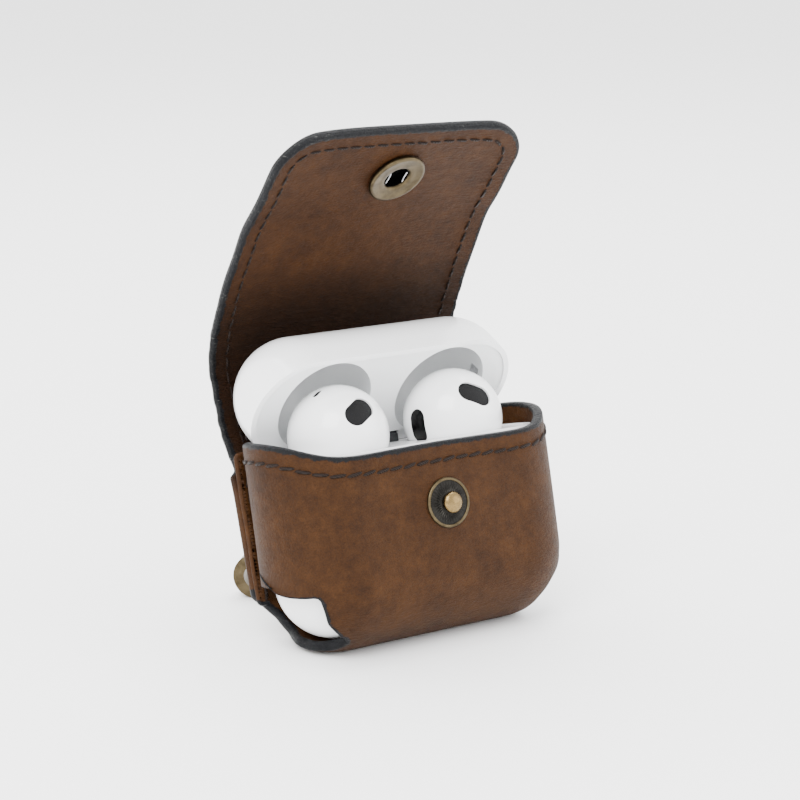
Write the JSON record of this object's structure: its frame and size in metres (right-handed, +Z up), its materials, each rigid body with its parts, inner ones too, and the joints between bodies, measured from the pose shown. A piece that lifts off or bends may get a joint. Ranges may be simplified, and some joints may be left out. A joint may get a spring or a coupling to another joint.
{
  "type": "headphone carrying case",
  "caption": "Leather snap sleeve with a folding flap, holding a round-ended charging case with a hinged lid and two wireless earbuds; a clasp hangs behind.",
  "frame": {"origin": "centre of the flat patch of leather on which the sleeve stands", "axes": "+Z up, +X to the right as seen from the front, -Y towards the front with the snap stud; the sleeve leans back 13 degrees"},
  "size_m": [0.0588, 0.0503, 0.0902],
  "materials": {
    "leather_body": "satin, fine grain",
    "leather_flap": "satin, waxed and creased",
    "thread": "waxed thread",
    "antique_brass": "dull antique",
    "post_brass": "worn satin",
    "dark_plate": "matt black",
    "steel": "satin",
    "hinge_grey": "dark satin",
    "white_plastic": "high gloss",
    "tray_plastic": "gloss",
    "liner_plastic": "satin",
    "black_mesh": "fine mesh",
    "black_window": "gloss",
    "cell": "satin wrap",
    "board": "satin",
    "gold": "bright",
    "light": "frosted"
  },
  "bodies": {
    "sleeve": {"sleeve_leather": "leather_body", "seam_thread_left": "thread", "seam_thread_right": "thread", "rim_thread": "thread", "stud_flange": "antique_brass", "stud_ribbed_plate": "dark_plate", "stud_post": "post_brass", "stud_back_cap": "antique_brass", "loop_tab": "leather_flap", "loop_rivet": "antique_brass"},
    "flap_lower": {"flap_base": "leather_flap", "flap_thread_base": "thread"},
    "flap_middle": {"flap_bend": "leather_flap", "flap_thread_bend": "thread"},
    "flap_upper": {"flap_crown": "leather_flap", "flap_thread_crown": "thread"},
    "flap_end": {"flap_front": "leather_flap", "flap_thread_front": "thread", "socket_ring": "antique_brass", "socket_spring": "steel", "socket_cap": "antique_brass"},
    "charging_case": {"base_shell": "white_plastic", "bud_tray": "tray_plastic", "well_contacts": "gold", "battery_cells": "cell", "charging_board": "board", "charging_port": "steel", "status_light": "light", "button_switch": "black_window", "hinge_bracket": "hinge_grey", "hinge_pin": "steel"},
    "case_lid": {"lid_leaf": "hinge_grey", "lid_shell": "white_plastic", "lid_liner": "liner_plastic", "lid_magnets": "steel"},
    "button": {"pairing_button": "white_plastic"},
    "left_bud": {"left_bud_shell": "white_plastic", "left_bud_grille": "black_mesh", "left_bud_sensor": "black_window", "left_bud_vent": "black_mesh", "left_bud_driver": "steel", "left_bud_cell": "cell", "left_bud_contact": "steel"},
    "right_bud": {"right_bud_shell": "white_plastic", "right_bud_grille": "black_mesh", "right_bud_sensor": "black_window", "right_bud_vent": "black_mesh", "right_bud_driver": "steel", "right_bud_cell": "cell", "right_bud_contact": "steel"},
    "ring": {"hang_ring": "antique_brass", "clasp_swivel": "antique_brass"},
    "hook": {"clasp_hook": "antique_brass", "clasp_lever_pin": "steel"},
    "lever": {"clasp_lever": "post_brass"}
  },
  "joints": [
    {"name": "flap_root", "type": "hinge", "parent": "sleeve", "child": "flap_lower", "pos_m": [0, 0.01534, 0.02949], "axis": [-1, 0, 0], "range_deg": [-34.59, 0]},
    {"name": "flap_knee", "type": "hinge", "parent": "flap_lower", "child": "flap_middle", "pos_m": [0, 0.02247, 0.03728], "axis": [-1, 0, 0], "range_deg": [-24.38, 0]},
    {"name": "flap_crest", "type": "hinge", "parent": "flap_middle", "child": "flap_upper", "pos_m": [0, 0.02377, 0.05269], "axis": [-1, 0, 0], "range_deg": [-6.56, 0]},
    {"name": "flap_tip", "type": "hinge", "parent": "flap_upper", "child": "flap_end", "pos_m": [0, 0.01967, 0.06071], "axis": [-1, 0, 0], "range_deg": [-60.09, 0]},
    {"name": "lid_hinge", "type": "hinge", "parent": "charging_case", "child": "case_lid", "pos_m": [0, 0.01437, 0.03197], "axis": [-1, 0, 0], "range_deg": [-50, 0]},
    {"name": "case_lift", "type": "slide", "parent": "sleeve", "child": "charging_case", "axis": [0, 0.225, 0.9744], "range_m": [0, 0.005]},
    {"name": "left_bud_lift", "type": "slide", "parent": "charging_case", "child": "left_bud", "axis": [0, 0.225, 0.9744], "range_m": [0, 0.0035]},
    {"name": "right_bud_lift", "type": "slide", "parent": "charging_case", "child": "right_bud", "axis": [0, 0.225, 0.9744], "range_m": [0, 0.0035]},
    {"name": "button_press", "type": "slide", "parent": "charging_case", "child": "button", "axis": [0, -0.9744, 0.225], "range_m": [0, 0.00035], "stiffness_N_per_m": 600},
    {"name": "ring_swing", "type": "hinge", "parent": "sleeve", "child": "ring", "pos_m": [0, 0.01608, 0.01495], "axis": [1, 0, 0], "range_deg": [0, 60]},
    {"name": "hook_turn", "type": "hinge", "parent": "ring", "child": "hook", "pos_m": [0, 0.02093, 0.01215], "axis": [-0.6393, 0.6393, -0.4273], "continuous": true},
    {"name": "lever_press", "type": "hinge", "parent": "hook", "child": "lever", "pos_m": [-0.00753, 0.02847, 0.00988], "axis": [-0.7071, -0.7071, 0], "range_deg": [0, 18], "stiffness_Nm_per_rad": 0.02}
  ],
  "couplings": [
    {"joint": "flap_knee", "follows": "flap_root", "ratio": 0.7048},
    {"joint": "flap_crest", "follows": "flap_root", "ratio": 0.18957},
    {"joint": "flap_tip", "follows": "flap_root", "ratio": 1.7373},
    {"joint": "lid_hinge", "follows": "flap_root", "ratio": 1.4456}
  ]
}
